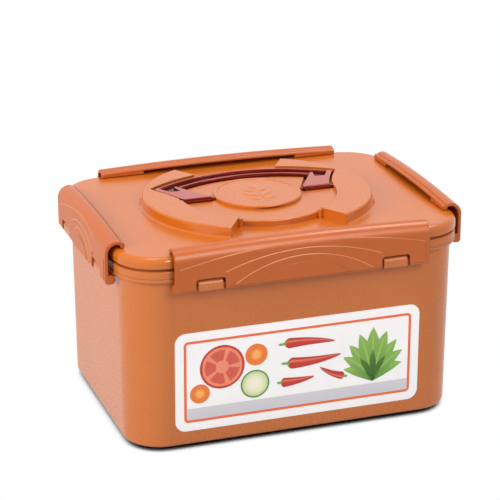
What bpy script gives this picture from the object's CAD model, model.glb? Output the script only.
"""Looks of a clip-lidded fermentation box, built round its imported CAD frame.

The solids stay as they are and get moulded-plastic, silicone and film finishes.
New pieces are thin numpy surfaces: the print on the front label, the twig in
relief on the lid's cap, and the light strips along the step edges of the clips.
All sizes are metres in the frame of the CAD model.
"""

import logging
import math
from collections.abc import Sequence
from dataclasses import dataclass
from enum import Enum
from typing import Any

import bpy
import numpy as np
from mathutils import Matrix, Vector


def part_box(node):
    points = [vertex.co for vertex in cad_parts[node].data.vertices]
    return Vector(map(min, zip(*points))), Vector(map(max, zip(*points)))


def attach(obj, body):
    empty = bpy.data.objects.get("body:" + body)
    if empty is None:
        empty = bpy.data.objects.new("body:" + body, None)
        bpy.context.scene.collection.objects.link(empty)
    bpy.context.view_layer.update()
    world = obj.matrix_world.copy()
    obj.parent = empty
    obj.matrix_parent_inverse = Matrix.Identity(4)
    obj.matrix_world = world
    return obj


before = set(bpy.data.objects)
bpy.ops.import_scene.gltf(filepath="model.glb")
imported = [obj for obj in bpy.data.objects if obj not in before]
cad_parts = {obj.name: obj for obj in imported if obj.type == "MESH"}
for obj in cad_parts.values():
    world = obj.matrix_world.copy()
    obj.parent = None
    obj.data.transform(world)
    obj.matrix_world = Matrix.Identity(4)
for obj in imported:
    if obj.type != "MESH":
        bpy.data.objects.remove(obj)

LOG = logging.getLogger("fermentation_box")
MM = 0.001
WHITE = (1.0, 1.0, 1.0, 1.0)
# Sockets of a Mix node, whose names repeat for each type of data that it mixes.
SHARE, LOW_COLOUR, HIGH_COLOUR, MIXED_COLOUR = 0, 6, 7, 2
LOW_NUMBER, HIGH_NUMBER, MIXED_NUMBER = 2, 3, 0


class Slot(Enum):
    """Material slots of the record that the new pieces take."""

    LID = "lid_plastic"
    CLIP = "clip_plastic"
    LABEL = "label_film"


class Side(Enum):
    """Sides of the box that carry a clip."""

    FRONT = "front"
    BACK = "back"
    LEFT = "left"
    RIGHT = "right"


class Ink(Enum):
    """Printing inks of the label, as sRGB hex."""

    BORDER = "EC6A38"
    BAND = "CDCBD4"
    LEAF = "4E8A36"
    LEAF_TIP = "9CC25A"
    RED = "C4332A"
    FLESH = "EE8B6B"
    ORANGE = "EC7A2E"
    AMBER = "F7B35A"
    PALE = "F4EFD2"


def linear(code: str) -> tuple[float, float, float, float]:
    """Turns an sRGB hex code into a linear colour, by the curve of the sRGB standard.

    Args:
        code: Six hex digits, such as "C4662C".

    Returns:
        Linear red, green, blue and an alpha of 1.
    """
    s = np.array([int(code[i : i + 2], 16) for i in (0, 2, 4)]) / 255.0
    v = np.where(s <= 0.04045, s / 12.92, ((s + 0.055) / 1.055) ** 2.4)
    return (float(v[0]), float(v[1]), float(v[2]), 1.0)


def add_node(
    tree: bpy.types.NodeTree,
    kind: str,
    inputs: dict[Any, Any] | None = None,
    **settings: Any,
) -> bpy.types.Node:
    """Adds one node, sets its properties and fills or links its sockets.

    Args:
        tree: Node tree that takes the node.
        kind: Blender's class name of the node.
        inputs: Socket name or number to a value, or to an output to link.
        settings: Properties of the node itself, such as blend_type.

    Returns:
        The new node.
    """
    node = tree.nodes.new(kind)
    for name, value in settings.items():
        setattr(node, name, value)
    for key, value in (inputs or {}).items():
        if isinstance(value, bpy.types.NodeSocket):
            tree.links.new(value, node.inputs[key])
        else:
            node.inputs[key].default_value = value
    return node


def empty_material(name: str) -> bpy.types.Material:
    """Makes a material with an empty node tree.

    Args:
        name: Name after the real material and how its surface was made.

    Returns:
        The material, with no nodes in it.
    """
    material = bpy.data.materials.new(name)
    material.use_nodes = True
    material.node_tree.nodes.clear()
    return material


def span_grid(
    rows: int,
    cols: int,
    s_from: float = 0.0,
    t_from: float = -1.0,
) -> tuple[np.ndarray, np.ndarray]:
    """Gives the two parameters of a surface on an even grid.

    Args:
        rows: Number of steps of s, which ends at 1.
        cols: Number of steps of t, which ends at 1.
        s_from: Where s starts.
        t_from: Where t starts.

    Returns:
        The arrays s and t, each of shape (rows, cols).
    """
    s, t = np.linspace(s_from, 1, rows), np.linspace(t_from, 1, cols)
    return tuple(np.meshgrid(s, t, indexing="ij"))


def per_sheet(values: Sequence[float] | np.ndarray) -> np.ndarray:
    """Shapes one number for each sheet so that it spreads over that sheet's grid."""
    return np.array(values)[:, None, None]


def grid_object(
    name: str,
    points: np.ndarray,
    wrap: bool = False,
    ink: np.ndarray | None = None,
) -> bpy.types.Object:
    """Turns one or more grids of points into a mesh object at the origin.

    Each cell of a grid is the quad of its four neighbouring points. With wrap
    the last row of a grid joins its first one, which closes the seam.

    Args:
        name: Name of the object and its mesh.
        points: Array of shape (sheets, rows, columns, 3), in metres.
        wrap: Whether rows close into a loop.
        ink: Linear colours of shape (sheets, rows, columns, 3), or None.

    Returns:
        The linked object, smooth shaded.
    """
    sheets, rows, cols = points.shape[:3]
    index = np.arange(sheets * rows * cols).reshape(sheets, rows, cols)
    if wrap:
        index = np.concatenate([index, index[:, :1]], axis=1)
    corners = [index[:, :-1, :-1], index[:, 1:, :-1], index[:, 1:, 1:], index[:, :-1, 1:]]
    quads = np.stack(corners, axis=-1).reshape(-1, 4)
    mesh = bpy.data.meshes.new(name)
    mesh.from_pydata(points.reshape(-1, 3), [], quads)
    mesh.polygons.foreach_set("use_smooth", np.ones(len(quads), dtype=bool))
    if ink is not None:
        layer = mesh.attributes.new("ink", "FLOAT_COLOR", "POINT")
        rgba = np.concatenate([ink, np.ones(ink.shape[:-1] + (1,))], axis=-1)
        layer.data.foreach_set("color", rgba.reshape(-1).astype(np.float32))
    mesh.update()
    thing = bpy.data.objects.new(name, mesh)
    bpy.context.scene.collection.objects.link(thing)
    return thing


def mixed(low: Ink, high: Ink, share: np.ndarray) -> np.ndarray:
    """Blends two inks by an array of shares.

    Args:
        low: Ink where share is 0 or less.
        high: Ink where share is 1 or more.
        share: Any array of numbers.

    Returns:
        Linear colours, one more axis than share.
    """
    a, b = np.array(linear(low.value)[:3]), np.array(linear(high.value)[:3])
    return a + (b - a) * np.clip(share, 0.0, 1.0)[..., None]


@dataclass(frozen=True)
class MouldedPolypropylene:
    """Injection-moulded polypropylene, grained where it looks up, smooth where upright.

    The grain comes in as the surface turns up, from a normal whose Z is
    grain_from, over grain_fade. Every edge has the small radius that a mould
    leaves, which draws thin light lines along the edges. Where thin is given,
    flat tops above thin_above_mm take that colour.
    """

    name: str
    colour: str
    deep: str
    top_rough: float
    side_rough: float
    # Mould grain is about 0.2 mm wide; it is drawn coarser so that it shows.
    grain_mm: float = 0.9
    grain_depth_mm: float = 0.02
    grain_from: float = 0.6
    grain_fade: float = 0.3
    grain_rough: float = 0.12
    grain_detail: float = 2.0
    side_bump: float = 0.08
    top_bump: float = 0.5
    cloud_mm: float = 45.0
    cloud_detail: float = 3.0
    edge_mm: float = 0.6
    edge_samples: int = 6
    coat: float = 0.0
    coat_rough: float = 0.2
    thin: str = ""
    thin_above_mm: float = 0.0
    thin_fade_mm: float = 0.4
    flat_from: float = 0.9
    flat_to: float = 0.99
    ior: float = 1.49
    gloss: str = "FFFFFF"

    def light_tops(
        self,
        tree: bpy.types.NodeTree,
        body: bpy.types.NodeSocket,
        spot: bpy.types.NodeSocket,
        upward: bpy.types.NodeSocket,
    ) -> bpy.types.NodeSocket:
        """Lightens flat tops, out of which light comes back; rails and recesses stay dark.

        Args:
            tree: Node tree that takes the nodes.
            body: Colour of the rest.
            spot: Object coordinates.
            upward: Z of the normal.

        Returns:
            The colour with the light tops in it.
        """
        flat = add_node(
            tree,
            "ShaderNodeMapRange",
            {"Value": upward, "From Min": self.flat_from, "From Max": self.flat_to},
            interpolation_type="SMOOTHSTEP",
        )
        height = add_node(tree, "ShaderNodeSeparateXYZ", {0: spot})
        above = add_node(
            tree,
            "ShaderNodeMapRange",
            {
                "Value": height.outputs["Z"],
                "From Min": self.thin_above_mm * MM,
                "From Max": (self.thin_above_mm + self.thin_fade_mm) * MM,
            },
        )
        both = add_node(
            tree,
            "ShaderNodeMath",
            {0: flat.outputs[0], 1: above.outputs[0]},
            operation="MULTIPLY",
        )
        return add_node(
            tree,
            "ShaderNodeMix",
            {SHARE: both.outputs[0], LOW_COLOUR: body, HIGH_COLOUR: linear(self.thin)},
            data_type="RGBA",
        ).outputs[MIXED_COLOUR]

    def material(self) -> bpy.types.Material:
        """Builds the node material: clouded pigment, grain bump, moulded edges.

        Returns:
            The material.
        """
        made = empty_material(self.name)
        tree = made.node_tree
        where = add_node(tree, "ShaderNodeTexCoord")
        spot = where.outputs["Object"]
        axis = add_node(tree, "ShaderNodeSeparateXYZ", {0: where.outputs["Normal"]})
        upward = axis.outputs["Z"]
        grain = add_node(
            tree,
            "ShaderNodeTexNoise",
            {"Vector": spot, "Scale": 1 / (self.grain_mm * MM), "Detail": self.grain_detail},
        ).outputs["Fac"]
        cloud = add_node(
            tree,
            "ShaderNodeTexNoise",
            {"Vector": spot, "Scale": 1 / (self.cloud_mm * MM), "Detail": self.cloud_detail},
        ).outputs["Fac"]
        body = add_node(
            tree,
            "ShaderNodeMix",
            {SHARE: cloud, LOW_COLOUR: linear(self.deep), HIGH_COLOUR: linear(self.colour)},
            data_type="RGBA",
        ).outputs[MIXED_COLOUR]
        if self.thin:
            body = self.light_tops(tree, body, spot, upward)
        top = add_node(
            tree,
            "ShaderNodeMapRange",
            {
                "Value": upward,
                "From Min": self.grain_from,
                "From Max": self.grain_from + self.grain_fade,
            },
            interpolation_type="SMOOTHSTEP",
        ).outputs[0]
        skin = add_node(
            tree,
            "ShaderNodeMix",
            {SHARE: top, LOW_NUMBER: self.side_rough, HIGH_NUMBER: self.top_rough},
            data_type="FLOAT",
        )
        rough = add_node(
            tree,
            "ShaderNodeMath",
            {0: grain, 1: self.grain_rough, 2: skin.outputs[MIXED_NUMBER]},
            operation="MULTIPLY_ADD",
        )
        edge = add_node(
            tree,
            "ShaderNodeBevel",
            {"Radius": self.edge_mm * MM},
            samples=self.edge_samples,
        )
        strength = add_node(
            tree,
            "ShaderNodeMapRange",
            {"Value": top, "To Min": self.side_bump, "To Max": self.top_bump},
        )
        bump = add_node(
            tree,
            "ShaderNodeBump",
            {
                "Strength": strength.outputs[0],
                "Distance": self.grain_depth_mm * MM,
                "Height": grain,
                "Normal": edge.outputs[0],
            },
        )
        shader = add_node(
            tree,
            "ShaderNodeBsdfPrincipled",
            {
                "Base Color": body,
                "Roughness": rough.outputs[0],
                "Normal": bump.outputs[0],
                "IOR": self.ior,
                "Specular Tint": linear(self.gloss),
                "Coat Weight": self.coat,
                "Coat Roughness": self.coat_rough,
            },
        )
        add_node(tree, "ShaderNodeOutputMaterial", {0: shader.outputs[0]})
        return made


@dataclass(frozen=True)
class MilkySilicone:
    """Moulded silicone rubber: milky, soft and a little cloudy, with no hard gloss."""

    name: str = "Silicone_moulded_milky"
    colour: str = "E9E4DA"
    deep: str = "D6CFC2"
    cloud_mm: float = 6.0
    bump: float = 0.2
    bump_depth_mm: float = 0.02
    rough: float = 0.55
    ior: float = 1.41
    milk: float = 0.3
    milk_reach: tuple[float, float, float] = (0.003, 0.002, 0.0015)

    def material(self) -> bpy.types.Material:
        """Builds the node material: clouded milky body with a shallow bump.

        Returns:
            The material.
        """
        made = empty_material(self.name)
        tree = made.node_tree
        where = add_node(tree, "ShaderNodeTexCoord")
        cloud = add_node(
            tree,
            "ShaderNodeTexNoise",
            {"Vector": where.outputs["Object"], "Scale": 1 / (self.cloud_mm * MM)},
        ).outputs["Fac"]
        body = add_node(
            tree,
            "ShaderNodeMix",
            {SHARE: cloud, LOW_COLOUR: linear(self.deep), HIGH_COLOUR: linear(self.colour)},
            data_type="RGBA",
        )
        bump = add_node(
            tree,
            "ShaderNodeBump",
            {"Strength": self.bump, "Distance": self.bump_depth_mm * MM, "Height": cloud},
        )
        shader = add_node(
            tree,
            "ShaderNodeBsdfPrincipled",
            {
                "Base Color": body.outputs[MIXED_COLOUR],
                "Roughness": self.rough,
                "IOR": self.ior,
                "Normal": bump.outputs[0],
                "Subsurface Weight": self.milk,
                "Subsurface Radius": self.milk_reach,
                "Subsurface Scale": 1.0,
            },
        )
        add_node(tree, "ShaderNodeOutputMaterial", {0: shader.outputs[0]})
        return made


@dataclass(frozen=True)
class PrintedFilm:
    """In-mould polypropylene film: bright white, smooth, with faint waves."""

    name: str = "Polypropylene_film_in_mould"
    ink_name: str = "Offset_ink_printed"
    colour: str = "FCFAF8"
    deep: str = "F3F0F1"
    wave_mm: float = 24.0
    wave_bump: float = 0.15
    wave_depth_mm: float = 0.2
    # Halftone dots are about 0.15 mm; they are drawn 0.7 mm wide so that they show.
    dot_mm: float = 0.7
    dot_detail: float = 1.0
    tone_low: float = 0.9
    tone_high: float = 1.06
    rough_low: float = 0.34
    rough_high: float = 0.46
    ior: float = 1.49

    def material(self, inked: bool) -> bpy.types.Material:
        """Builds the film, or the ink on it, which reads its colour per point.

        Args:
            inked: True for the printed layer, False for the bare film.

        Returns:
            The material.
        """
        made = empty_material(self.ink_name if inked else self.name)
        tree = made.node_tree
        spot = add_node(tree, "ShaderNodeTexCoord").outputs["Object"]
        wave = add_node(
            tree,
            "ShaderNodeTexNoise",
            {"Vector": spot, "Scale": 1 / (self.wave_mm * MM)},
        ).outputs["Fac"]
        dots = add_node(
            tree,
            "ShaderNodeTexNoise",
            {"Vector": spot, "Scale": 1 / (self.dot_mm * MM), "Detail": self.dot_detail},
        ).outputs["Fac"]
        if inked:
            ink = add_node(tree, "ShaderNodeAttribute", attribute_name="ink")
            tone = add_node(
                tree,
                "ShaderNodeMapRange",
                {"Value": dots, "To Min": self.tone_low, "To Max": self.tone_high},
            )
            body = add_node(
                tree,
                "ShaderNodeVectorMath",
                {0: ink.outputs["Color"], "Scale": tone.outputs[0]},
                operation="SCALE",
            ).outputs[0]
        else:
            body = add_node(
                tree,
                "ShaderNodeMix",
                {SHARE: wave, LOW_COLOUR: linear(self.deep), HIGH_COLOUR: linear(self.colour)},
                data_type="RGBA",
            ).outputs[MIXED_COLOUR]
        rough = add_node(
            tree,
            "ShaderNodeMapRange",
            {"Value": dots, "To Min": self.rough_low, "To Max": self.rough_high},
        )
        bump = add_node(
            tree,
            "ShaderNodeBump",
            {"Strength": self.wave_bump, "Distance": self.wave_depth_mm * MM, "Height": wave},
        )
        shader = add_node(
            tree,
            "ShaderNodeBsdfPrincipled",
            {
                "Base Color": body,
                "Roughness": rough.outputs[0],
                "Normal": bump.outputs[0],
                "IOR": self.ior,
            },
        )
        add_node(tree, "ShaderNodeOutputMaterial", {0: shader.outputs[0]})
        return made


def dress(node: str, material: bpy.types.Material) -> None:
    """Gives a CAD node one finish in place of the materials it came with.

    Args:
        node: Name of the CAD node.
        material: Finish to put on it.
    """
    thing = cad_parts[node]
    thing.data.materials.clear()
    thing.data.materials.append(material)
    LOG.info("dressed %s with %s", node, material.name)


@dataclass
class Tub:
    """The box itself and its front label, with the print on the label.

    The print lies in layers, each print_lift above the one below: the border and
    the band in the first, leaves and slices from the second, peppers from the fourth.
    """

    draft: float = math.radians(0.6)
    print_lift: float = 0.04 * MM
    border_in: float = 6.5 * MM
    border_w: float = 2.0 * MM
    border_r: float = 3.5 * MM
    border_steps: int = 160
    band_h: float = 9.0 * MM
    band_r: float = 1.5 * MM
    band_fade: float = 0.15
    fan_u: float = 58 * MM
    fan_v: float = -19 * MM
    fan_spread: float = 62.0
    finish: MouldedPolypropylene = MouldedPolypropylene(
        # Terracotta PP from a fine-stoned mould: satin walls, crisp light on the knuckles.
        name="Polypropylene_moulded_satin_terracotta",
        colour="C36C2F",
        deep="BB652A",
        top_rough=0.08,
        side_rough=0.22,
        grain_mm=1.1,
        edge_mm=1.6,
    )
    film: PrintedFilm = PrintedFilm()

    def place(self, u: np.ndarray, v: np.ndarray, layer: int | np.ndarray) -> np.ndarray:
        """Puts flat label coordinates on the leaning front face of the label.

        The face leans out by the draft, so a point is the face's middle plus u
        along X, v up the face, and the layer's lift along the outward normal.

        Args:
            u: Distance to the right of the label's middle, in metres.
            v: Distance up from the label's middle, in metres.
            layer: Number of the printed layer, from 1, or one for each sheet.

        Returns:
            Points with one more axis than u.
        """
        low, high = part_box("front_label")
        s, c = math.sin(self.draft), math.cos(self.draft)
        half = (high.z - low.z) / 2
        lift = layer * self.print_lift
        x = (low.x + high.x) / 2 + u
        y = low.y + half * s - v * s - lift * c
        z = high.z - half + v * c - lift * s
        return np.stack(np.broadcast_arrays(x, y, z), axis=-1)

    def border(self) -> bpy.types.Object:
        """Prints a thin frame: a rounded rectangle's outline, offset across its width.

        A point of the outline is the centre of its corner's arc plus the arc's
        radius in the direction of turn, and turn goes once round.

        Returns:
            The frame.
        """
        low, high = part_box("front_label")
        half_w = (high.x - low.x) / 2 - self.border_in
        half_h = (high.z - low.z) / 2 - self.border_in
        turn = np.linspace(0.0, 2 * np.pi, self.border_steps + 1)[:-1, None]
        turn = turn + np.pi / self.border_steps
        ring = self.border_r + np.array([0.0, -self.border_w])
        u = np.sign(np.cos(turn)) * (half_w - self.border_r) + np.cos(turn) * ring
        v = np.sign(np.sin(turn)) * (half_h - self.border_r) + np.sin(turn) * ring
        points = self.place(u, v, 1)[None]
        ink = mixed(Ink.BORDER, Ink.BORDER, np.zeros(points.shape[:3]))
        return grid_object("label_border", points[:, :, ::-1], True, ink)

    def band(self) -> bpy.types.Object:
        """Prints a pale band along the foot of the frame.

        It is a rectangle with rounded lower corners: at a height above its foot
        that is less than the corner's radius, its half width is less by the
        radius minus the corner circle's half chord.

        Returns:
            The band.
        """
        low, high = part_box("front_label")
        inside = self.border_in + self.border_w
        half_w, half_h = (high.x - low.x) / 2 - inside, (high.z - low.z) / 2 - inside
        s, t = span_grid(81, 13, -1.0, 0.0)
        rise = t * self.band_h
        below = np.maximum(self.band_r - rise, 0)
        inset = self.band_r - np.sqrt(np.maximum(self.band_r**2 - below**2, 0))
        points = self.place(s * (half_w - inset), -half_h + rise, 1)[None]
        ink = mixed(Ink.BAND, Ink.PALE, self.band_fade * t)[None]
        return grid_object("label_band", points, False, ink)

    def leaves(self) -> bpy.types.Object:
        """Prints a fan of leaves: blades whose half width is w * sin(pi * s) ** 0.8.

        Each blade's middle line bends as an arc, s runs from stem to tip and t
        across, and the vein is a light line where t is near 0. Neighbours lie in
        two layers in turn.

        Returns:
            The fan as one object.
        """
        reach = per_sheet([26, 32, 36, 40, 43, 40, 36, 32, 26]) * MM
        wide = per_sheet([4.4, 5.0, 5.4, 5.8, 6.2, 5.8, 5.4, 5.0, 4.4]) * MM
        count = len(reach)
        lean = np.radians(per_sheet(np.linspace(-self.fan_spread, self.fan_spread, count)))
        s, t = span_grid(41, 13)
        angle = lean * (0.55 + 0.45 * s)
        half = wide * np.maximum(np.sin(np.pi * s), 0.02) ** 0.8
        u = self.fan_u + reach * s * np.sin(angle) + half * t * np.cos(angle)
        v = self.fan_v + reach * s * np.cos(angle) - half * t * np.sin(angle)
        points = self.place(u, v, per_sheet(2 + np.arange(count) % 2))
        vein = 0.6 * np.exp(-((t / 0.12) ** 2))
        ink = mixed(Ink.LEAF, Ink.LEAF_TIP, np.broadcast_to(0.75 * s + vein, u.shape))
        return grid_object("label_leaves", points[:, :, ::-1], False, ink[:, :, ::-1])

    def slices(self) -> bpy.types.Object:
        """Prints cut vegetable slices: unit squares mapped to discs without a pole.

        A point (s, t) of the square goes to (s * sqrt(1 - t*t/2),
        t * sqrt(1 - s*s/2)); seeds and skin are bands of radius and angle.

        Returns:
            One tomato, one cucumber and two carrot slices as one object.
        """
        at_u = per_sheet([-59, -34, -76, -33]) * MM
        at_v = per_sheet([9, -8, -10, 15]) * MM
        radius = per_sheet([17, 11, 7.5, 8.5]) * MM
        s, t = span_grid(61, 61, -1.0)
        x, y = s * np.sqrt(1 - t * t / 2), t * np.sqrt(1 - s * s / 2)
        rho, phi = np.hypot(x, y), np.arctan2(y, x)
        skin = rho[..., None] > 0.9
        cell = (np.abs(np.sin(2.5 * phi)) > 0.35) & (rho > 0.3) & (rho < 0.78)
        flesh = mixed(Ink.FLESH, Ink.RED, cell * 0.7)
        tomato = np.where(skin, mixed(Ink.RED, Ink.RED, rho), flesh)
        pulp = mixed(Ink.PALE, Ink.LEAF_TIP, rho**3)
        cucumber = np.where(skin, mixed(Ink.LEAF, Ink.LEAF, rho), pulp)
        carrot = mixed(Ink.AMBER, Ink.ORANGE, (rho - 0.25) * 3)
        ink = np.stack([tomato, cucumber, carrot, carrot])
        points = self.place(at_u + radius * x, at_v + radius * y, 2)
        return grid_object("label_slices", points, False, ink)

    def peppers(self) -> bpy.types.Object:
        """Prints red peppers with green caps: bands along bent middle lines.

        A middle line starts at its cap and bends by a steady angle over its
        length. Across it the half width is w * (1 - s) ** 0.6, rounded off at
        the cap, a light streak runs where t is near 0.35 and a shade where it is
        near -0.9. The cap is the first part of the line, and its ink is green.

        Returns:
            The peppers as one object.
        """
        at_u = per_sheet([-16, -14, -17, 38]) * MM
        at_v = per_sheet([20, 5, -10, -12]) * MM
        lean = np.radians(per_sheet([4, -6, -4, 170]))
        bend = np.radians(per_sheet([-14, 16, 14, -30]))
        reach = per_sheet([44, 47, 29, 24]) * MM
        wide = per_sheet([4.6, 5.0, 4.2, 3.4]) * MM
        s, t = span_grid(91, 17)
        angle, chord = lean + bend * s, lean + bend * s / 2
        body = wide * (1 - s) ** 0.6 * np.sqrt(np.clip((s - 0.1) / 0.08, 0, 1))
        stalk = 0.9 * MM * np.clip(s / 0.02, 0.3, 1) * (s < 0.2)
        half = np.maximum(body, stalk)
        u = at_u + reach * s * np.cos(chord) - half * t * np.sin(angle)
        v = at_v + reach * s * np.sin(chord) + half * t * np.cos(angle)
        points = self.place(u, v, per_sheet(4 + np.arange(len(u)) % 2))
        streak = 0.75 * np.exp(-(((t - 0.35) / 0.2) ** 2))
        shade = 0.35 * np.exp(-(((t + 0.9) / 0.4) ** 2))
        red = mixed(Ink.RED, Ink.FLESH, streak - shade) * (1 - 0.25 * t**4)[..., None]
        green = mixed(Ink.LEAF, Ink.LEAF_TIP, 0.4 - 0.4 * t)
        ink = np.broadcast_to(np.where(s[..., None] < 0.13, green, red), points.shape)
        return grid_object("label_peppers", points, False, ink)

    def build(self) -> None:
        """Dresses the box and prints the label."""
        dress("tub", self.finish.material())
        dress("front_label", self.film.material(False))
        ink = self.film.material(True)
        for piece in (self.border(), self.band(), self.leaves(), self.slices(), self.peppers()):
            piece.data.materials.append(ink)
            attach(piece, "tub")
            LOG.info("built %s", piece.name)


@dataclass
class Lid:
    """The lid with its centre cap and seal, and the twig in relief on the cap.

    The cap's flat lies cap_lip below its top, and the twig's rim is sunk in it.
    """

    finish: MouldedPolypropylene = MouldedPolypropylene(
        # Spark-eroded top that blurs what it mirrors, polished ring walls and rim.
        name="Polypropylene_moulded_spark_grained_top",
        colour="C46617",
        deep="BC5F14",
        top_rough=0.22,
        side_rough=0.06,
        grain_mm=0.8,
        grain_depth_mm=0.01,
        coat=0.2,
        coat_rough=0.2,
    )
    relief_h: float = 0.6 * MM
    cap_lip: float = 0.4 * MM
    sink: float = 0.05 * MM

    def sprig(self) -> bpy.types.Object:
        """Builds a plain twig with three pairs of leaves in low relief on the cap.

        Each leaf is a blade of half width w * sin(pi * s) ** 0.9 whose height is
        h * (1 - t*t) * sin(pi * s) ** 0.5, with its rim sunk in the cap. The stem
        is one more blade, long and narrow.

        Returns:
            The twig as one object.
        """
        _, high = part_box("centre_cap")
        lean = np.radians(per_sheet([-58, -52, -46, 46, 52, 58, 0, 0]))
        reach = per_sheet([12, 13, 12, 12, 13, 12, 14, 26]) * MM
        base = per_sheet([-18, -9, 0, 0, -9, -18, 4, -25]) * MM
        wide = per_sheet([3.1, 3.2, 3.1, 3.1, 3.2, 3.1, 3.2, 0.7]) * MM
        s, t = span_grid(33, 13)
        half = wide * np.maximum(np.sin(np.pi * s), 0.01) ** 0.9
        along = reach * (0.12 + s)
        x = along * np.sin(lean) + half * t * np.cos(lean)
        y = base + along * np.cos(lean) - half * t * np.sin(lean)
        swell = np.maximum(np.sin(np.pi * s), 0.0) ** 0.5 * (1 - t**2)
        z = high.z - self.cap_lip - self.sink + self.relief_h * swell
        points = np.stack(np.broadcast_arrays(x, y, z), axis=-1)
        return grid_object("cap_sprig", points[:, :, ::-1])

    def build(self, seal: bpy.types.Material) -> None:
        """Dresses lid, cap and seal and adds the relief.

        Args:
            seal: Silicone that the seal takes.
        """
        skin = self.finish.material()
        dress("lid", skin)
        dress("centre_cap", skin)
        dress("lid_seal", seal)
        piece = self.sprig()
        piece.data.materials.append(skin)
        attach(piece, "lid")
        LOG.info("built %s", piece.name)


@dataclass
class Clips:
    """The four hooked clips round the rim, with light strips on their step edges.

    The sizes repeat the clips' own: steps of step_h on the face, pitch apart at
    their tops, a top rolled to the radius roll and bowed by arch, a notch at
    each knuckle, and the heights of the lid's foot and of the hinge axis.
    """

    finish: MouldedPolypropylene = MouldedPolypropylene(
        # Grain on the rolled tops breaks up the light; the faces below are satin.
        name="Polypropylene_moulded_fine_grain",
        colour="BA5B1A",
        deep="B25416",
        top_rough=0.26,
        side_rough=0.36,
        grain_mm=0.9,
        grain_depth_mm=0.12,
        grain_from=0.1,
        edge_mm=0.9,
    )
    worn: MouldedPolypropylene = MouldedPolypropylene(
        # The steps' edges are rubbed smooth, so they draw light arcs on the faces.
        name="Polypropylene_moulded_rubbed_edge",
        colour="DE9460",
        deep="D4854F",
        top_rough=0.2,
        side_rough=0.2,
        grain_mm=0.8,
    )
    faint: MouldedPolypropylene = MouldedPolypropylene(
        # The outermost edge is rubbed less, so its line is fainter.
        name="Polypropylene_moulded_faintly_rubbed_edge",
        colour="CB7638",
        deep="C36D30",
        top_rough=0.25,
        side_rough=0.25,
        grain_mm=0.8,
    )
    steps: int = 4
    step_h: float = 0.25 * MM
    step_top: float = 4.5 * MM
    step_end: float = 3.4 * MM
    step_in: float = 7.5 * MM
    pitch: float = 5.0 * MM
    arch: float = 2.1 * MM
    roll: float = 9.2 * MM
    line_half: float = 0.45 * MM
    line_lift: float = 0.1 * MM
    line_sink: float = 0.02 * MM
    notch: float = 22.0 * MM
    knuckle_long: float = 70.3 * MM
    knuckle_short: float = 43.5 * MM
    lid_foot: float = 143.3 * MM
    axis: float = 128.5 * MM

    def arcs(self, side: Side, first: bool) -> bpy.types.Object:
        """Builds rounded ramps along the edges of the face's nested steps.

        Each edge is a circle through its two end points and its top. Along it
        runs a strip: t goes across, from the upper step at -1 to the lower step
        at 1, and the height is the straight ramp plus lift * (1 - t*t). Above
        the flat face the strip follows the rolled top, which is bowed lengthwise.

        Args:
            side: Side of the box whose clip takes the strips.
            first: True for the outermost edge, False for the two inside it.

        Returns:
            The strips of one clip as one object.
        """
        low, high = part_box(f"{side.value}_clip")
        along, out = (0, 1) if side in (Side.FRONT, Side.BACK) else (1, 0)
        knuckle = self.knuckle_long if along == 0 else self.knuckle_short
        sign = 1.0 if side in (Side.BACK, Side.RIGHT) else -1.0
        face = abs((high if sign > 0 else low)[out]) - self.steps * self.step_h
        end = (high[along] - low[along]) / 2
        span = knuckle - self.notch / 2
        pick = slice(0, 1) if first else slice(1, 3)
        level = per_sheet([1.0, 2.0, 3.0])[pick]
        half = per_sheet([end - self.step_end, span, span - self.step_in])[pick]
        foot = per_sheet([self.lid_foot, self.lid_foot - self.pitch, self.axis])[pick]
        crest = high.z - self.step_top - (level - 1) * self.pitch
        rise = crest - foot
        radius = half**2 / (2 * rise) + rise / 2
        s, t = span_grid(129, 7, -1.0)
        turn, reach = np.arcsin(half / radius) * s, radius + self.line_half * t
        run, up = reach * np.sin(turn), crest - radius + reach * np.cos(turn)
        bow = end**2 / (2 * self.arch) + self.arch / 2
        over = np.hypot(run, up - high.z + bow) - bow + self.roll
        lift = (level - 0.5 - 0.5 * t) * self.step_h + self.line_lift * (1 - t**2)
        skin = self.roll + lift - self.line_sink
        depth = np.sqrt(skin**2 - np.maximum(over, 0) ** 2)
        points = np.empty(turn.shape + (3,))
        points[..., along] = run
        points[..., out] = sign * (face - self.roll + depth)
        points[..., 2] = up
        flip = (sign > 0) == (along == 0)
        name = f"{side.value}_clip_{'edge' if first else 'arcs'}"
        return grid_object(name, points[:, :, ::-1] if flip else points)

    def build(self) -> None:
        """Dresses the four clips alike and lays the light strips on their faces."""
        skin, edge, line = (f.material() for f in (self.finish, self.worn, self.faint))
        for side in Side:
            dress(f"{side.value}_clip", skin)
            for first in (True, False):
                piece = self.arcs(side, first)
                piece.data.materials.append(line if first else edge)
                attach(piece, f"{side.value}_clip")
                LOG.info("built %s", piece.name)


@dataclass
class CarryHandle:
    """The bail handle that lies in the lid's pocket."""

    finish: MouldedPolypropylene = MouldedPolypropylene(
        # Polished dark red PP: deep colour, a red gloss, lighter flat tops.
        name="Polypropylene_moulded_polished_dark_red",
        colour="5C130A",
        deep="440C06",
        thin="B05A50",
        thin_above_mm=157.4,
        ior=1.42,
        gloss="D85040",
        top_rough=0.06,
        side_rough=0.06,
        grain_mm=3.0,
        grain_depth_mm=0.01,
        edge_mm=0.5,
    )

    def build(self) -> None:
        """Dresses the handle."""
        dress("handle", self.finish.material())


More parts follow.
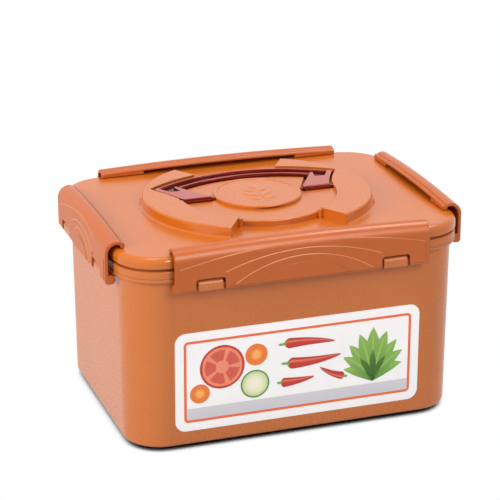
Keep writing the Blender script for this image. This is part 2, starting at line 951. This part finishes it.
@dataclass
class PressSet:
    """The plate that slides down on the food, its wiper seal and its vent plug."""

    finish: MouldedPolypropylene = MouldedPolypropylene(
        # Polished red-brown PP, a shade lighter than the handle.
        name="Polypropylene_moulded_polished_red_brown",
        colour="8A3A1C",
        deep="7C3117",
        top_rough=0.22,
        side_rough=0.16,
        grain_mm=2.0,
        coat=0.2,
    )

    def build(self, seal: bpy.types.Material) -> None:
        """Dresses plate, seal and plug.

        Args:
            seal: Silicone that the seal and the plug take.
        """
        dress("press_plate", self.finish.material())
        dress("press_seal", seal)
        dress("vent_plug", seal)


@dataclass(frozen=True)
class SoftLight:
    """A square soft light: place and side in metres, power in watts.

    Gloss shows it only where mirrored is True; a low light would white out the lid.
    """

    name: str
    at: tuple[float, float, float]
    side: float
    power: float
    mirrored: bool = True


@dataclass
class Studio:
    """Pale floor, soft lights, white surround and the camera of the photograph."""

    eye: tuple[float, float, float] = (-0.4873, -1.3903, 0.6558)
    aim: tuple[float, float, float] = (-0.0058, 0.0, 0.1124)
    lens: float = 148.84
    sensor: float = 36.0
    clip_near: float = 0.05
    clip_far: float = 50.0
    floor_half: float = 6.0
    floor_drop: float = 0.0002
    paper: str = "C4C4C4"
    contact_reach: float = 0.012
    contact_dark: float = 0.2
    contact_light: float = 0.55
    contact_samples: int = 12
    ambient: float = 0.36
    lights: tuple[SoftLight, ...] = (
        SoftLight("key_left", (-1.8, -0.4, 0.8), 0.9, 30.0, False),
        SoftLight("back_fill", (0.5, 1.8, 0.9), 1.2, 9.0, False),
        SoftLight("overhead", (-0.2, 0.05, 1.9), 0.36, 8.3),
        SoftLight("rail_light", (0.75, 0.2, 1.75), 0.3, 9.0),
        SoftLight("front_fill", (0.5, -1.7, 1.4), 0.9, 19.5),
    )

    def floor(self) -> None:
        """Lays a wide sheet at the foot of the box, matt white, white to the camera.

        The camera and reflections see plain white dimmed by how closed in a spot
        is, so the contact shadow under the box stays; other light sees matt white.
        """
        s = np.linspace(-self.floor_half, self.floor_half, 5)
        x, y = np.meshgrid(s, s, indexing="ij")
        points = np.stack([x, y, np.full_like(x, -self.floor_drop)], axis=-1)
        sheet = grid_object("studio_floor", points[None])
        made = empty_material("Paper_sweep_matt_white")
        tree = made.node_tree
        matt = add_node(tree, "ShaderNodeBsdfDiffuse", {"Color": linear(self.paper)})
        shut = add_node(
            tree,
            "ShaderNodeAmbientOcclusion",
            {"Distance": self.contact_reach},
            samples=self.contact_samples,
        )
        level = add_node(
            tree,
            "ShaderNodeMapRange",
            {
                "Value": shut.outputs["AO"],
                "From Min": self.contact_dark,
                "From Max": self.contact_light,
            },
        )
        glow = add_node(tree, "ShaderNodeEmission", {"Strength": level.outputs[0]})
        mix = add_node(
            tree,
            "ShaderNodeMixShader",
            {0: self.seen(tree), 1: matt.outputs[0], 2: glow.outputs[0]},
        )
        add_node(tree, "ShaderNodeOutputMaterial", {0: mix.outputs[0]})
        sheet.data.materials.append(made)

    def seen(self, tree: bpy.types.NodeTree) -> bpy.types.NodeSocket:
        """Adds the test for rays that see the surround: camera, gloss or transmission.

        Args:
            tree: Node tree that takes the nodes.

        Returns:
            A socket that is 1 for those rays and 0 for the others.
        """
        path = add_node(tree, "ShaderNodeLightPath")
        either = add_node(
            tree,
            "ShaderNodeMath",
            {0: path.outputs["Is Camera Ray"], 1: path.outputs["Is Glossy Ray"]},
            operation="MAXIMUM",
        )
        return add_node(
            tree,
            "ShaderNodeMath",
            {0: either.outputs[0], 1: path.outputs["Is Transmission Ray"]},
            operation="MAXIMUM",
        ).outputs[0]

    def surround(self) -> None:
        """Makes the world: white where it is seen, a softer grey where it only lights."""
        world = bpy.data.worlds.new("studio_surround")
        world.use_nodes = True
        tree = world.node_tree
        tree.nodes.clear()
        kind = "ShaderNodeBackground"
        soft = add_node(tree, kind, {"Color": WHITE, "Strength": self.ambient})
        white = add_node(tree, kind, {"Color": WHITE, "Strength": 1.0})
        mix = add_node(
            tree,
            "ShaderNodeMixShader",
            {0: self.seen(tree), 1: soft.outputs[0], 2: white.outputs[0]},
        )
        add_node(tree, "ShaderNodeOutputWorld", {0: mix.outputs[0]})
        bpy.context.scene.world = world

    def aimed(
        self,
        name: str,
        data: bpy.types.ID,
        at: tuple[float, float, float],
    ) -> bpy.types.Object:
        """Puts a light or a camera in the scene, looking at the box.

        Args:
            name: Name of the object.
            data: The light or camera.
            at: Where it stands, in metres.

        Returns:
            The linked object.
        """
        thing = bpy.data.objects.new(name, data)
        thing.location = at
        look = Vector(self.aim) - Vector(at)
        thing.rotation_euler = look.to_track_quat("-Z", "Y").to_euler()
        bpy.context.scene.collection.objects.link(thing)
        return thing

    def softbox(self, light: SoftLight) -> None:
        """Hangs one soft light.

        Args:
            light: What it is and where it hangs.
        """
        lamp = bpy.data.lights.new(light.name, "AREA")
        lamp.shape, lamp.size, lamp.energy = "SQUARE", light.side, light.power
        thing = self.aimed(light.name, lamp, light.at)
        thing.visible_glossy = light.mirrored

    def camera(self) -> None:
        """Sets the camera at the photograph's angle, for a square image."""
        shot = bpy.data.cameras.new("photo_camera")
        shot.lens, shot.sensor_width, shot.sensor_fit = self.lens, self.sensor, "HORIZONTAL"
        shot.clip_start, shot.clip_end = self.clip_near, self.clip_far
        bpy.context.scene.camera = self.aimed("photo_camera", shot, self.eye)

    def build(self) -> None:
        """Sets floor, surround, lights and camera."""
        self.floor()
        self.surround()
        for light in self.lights:
            self.softbox(light)
        self.camera()
        bpy.context.scene.view_settings.view_transform = "Standard"


def main() -> None:
    logging.basicConfig(level=logging.INFO, format="%(name)s: %(message)s")
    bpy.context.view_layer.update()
    seal = MilkySilicone().material()
    Tub().build()
    Lid().build(seal)
    Clips().build()
    CarryHandle().build()
    PressSet().build(seal)
    Studio().build()


if __name__ == "__main__":
    main()
